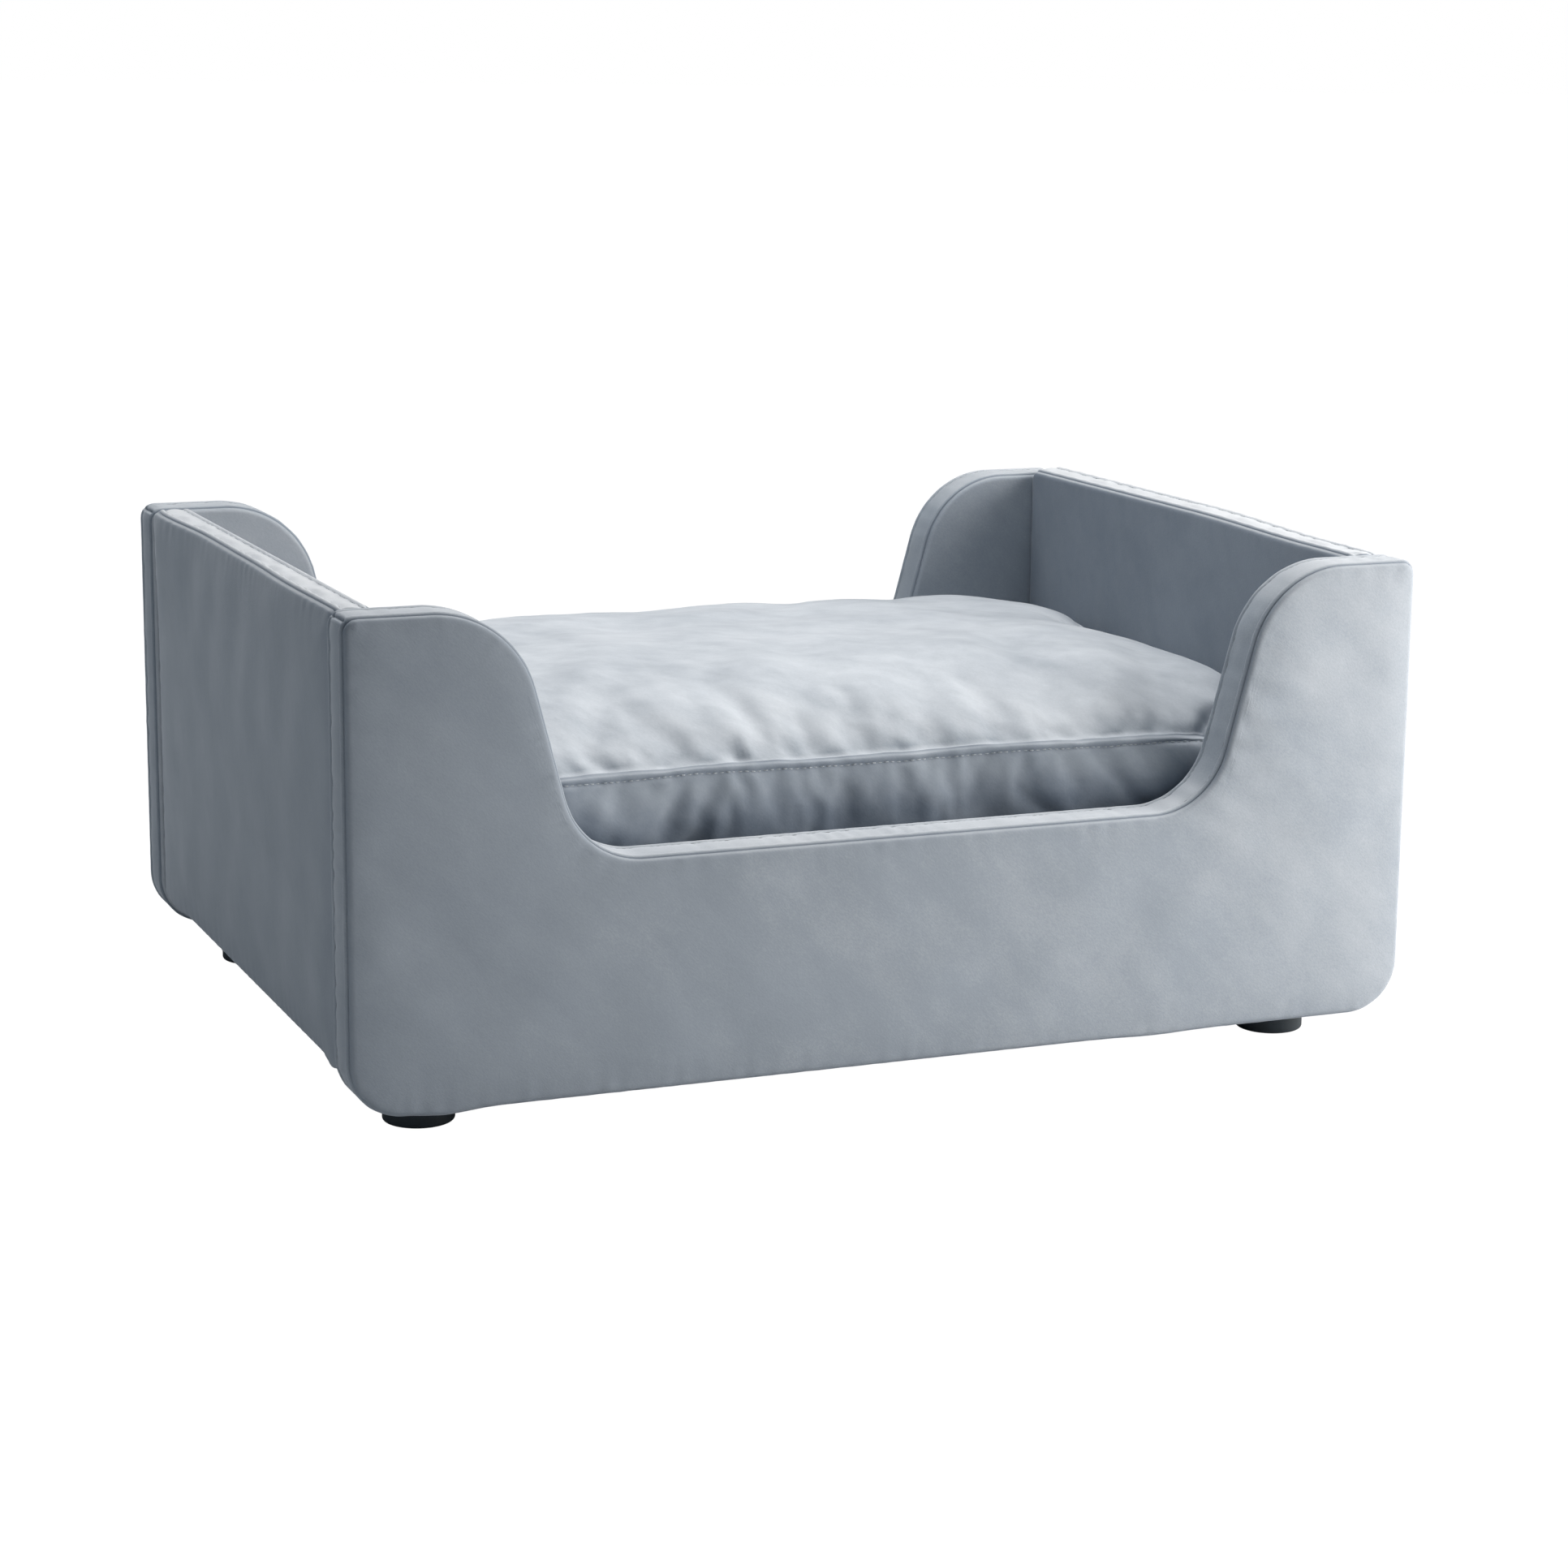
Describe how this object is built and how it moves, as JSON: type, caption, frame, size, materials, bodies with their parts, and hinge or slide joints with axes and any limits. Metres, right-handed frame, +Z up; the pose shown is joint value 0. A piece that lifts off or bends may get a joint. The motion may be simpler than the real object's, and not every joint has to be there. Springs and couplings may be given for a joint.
{
  "type": "dog bed with frame",
  "caption": "Upholstered dog bed: a padded frame with scooped front and back and plain ends, round a loose zipped cushion that lifts out, on round feet.",
  "frame": {"origin": "on the floor under the middle of the bed", "axes": "+X along the bed's length, +Y from front to back, +Z up"},
  "size_m": [0.8, 0.6, 0.36],
  "materials": {
    "velvet": "matte",
    "foam": "matte",
    "fibre_fill": "matte",
    "plywood": "matte",
    "pine": "matte",
    "beech": "matte",
    "foot_plastic": "satin",
    "zinc_steel": "satin",
    "dust_cloth": "matte",
    "zip_tape": "matte",
    "zip_coil": "satin",
    "zip_metal": "satin"
  },
  "bodies": {
    "bed_frame": {"back_panel_board": "plywood", "back_panel_boxing": "velvet", "back_panel_edge_foam": "foam", "back_panel_inner_cover": "velvet", "back_panel_inner_foam": "foam", "back_panel_outer_cover": "velvet", "back_panel_outer_foam": "foam", "back_rail": "pine", "deck": "plywood", "deck_screws": "zinc_steel", "dust_cover": "dust_cloth", "foot_screws": "zinc_steel", "front_panel_board": "plywood", "front_panel_boxing": "velvet", "front_panel_edge_foam": "foam", "front_panel_inner_cover": "velvet", "front_panel_inner_foam": "foam", "front_panel_outer_cover": "velvet", "front_panel_outer_foam": "foam", "front_rail": "pine", "left_back_block": "pine", "left_back_foot": "foot_plastic", "left_cross_rail": "pine", "left_end_board": "plywood", "left_end_boxing": "velvet", "left_end_edge_foam": "foam", "left_end_inner_cover": "velvet", "left_end_inner_foam": "foam", "left_end_outer_cover": "velvet", "left_end_outer_foam": "foam", "left_front_block": "pine", "left_front_foot": "foot_plastic", "left_rail": "pine", "panel_bolts": "zinc_steel", "panel_dowels": "beech", "panel_tee_nuts": "zinc_steel", "panel_washers": "zinc_steel", "right_back_block": "pine", "right_back_foot": "foot_plastic", "right_cross_rail": "pine", "right_end_board": "plywood", "right_end_boxing": "velvet", "right_end_edge_foam": "foam", "right_end_inner_cover": "velvet", "right_end_inner_foam": "foam", "right_end_outer_cover": "velvet", "right_end_outer_foam": "foam", "right_front_block": "pine", "right_front_foot": "foot_plastic", "right_rail": "pine"},
    "cushion": {"cushion_bottom_cover": "velvet", "cushion_boxing": "velvet", "cushion_fill": "fibre_fill", "cushion_top_cover": "velvet", "zip_tapes": "zip_tape", "zip_teeth": "zip_coil", "zip_stops": "zip_metal"},
    "zip_slider": {"zip_slider": "zip_metal"},
    "zip_pull": {"zip_pull": "zip_metal"}
  },
  "joints": [
    {"name": "cushion_lift", "type": "slide", "parent": "bed_frame", "child": "cushion", "axis": [0, 0, 1], "range_m": [0, 0.32]},
    {"name": "zip_run", "type": "slide", "parent": "cushion", "child": "zip_slider", "axis": [1, 0, 0], "range_m": [0, 0.544]},
    {"name": "zip_pull_swing", "type": "hinge", "parent": "zip_slider", "child": "zip_pull", "pos_m": [-0.272, 0.2555, 0.175], "axis": [0, 1, 0], "range_deg": [-80, 80]}
  ]
}
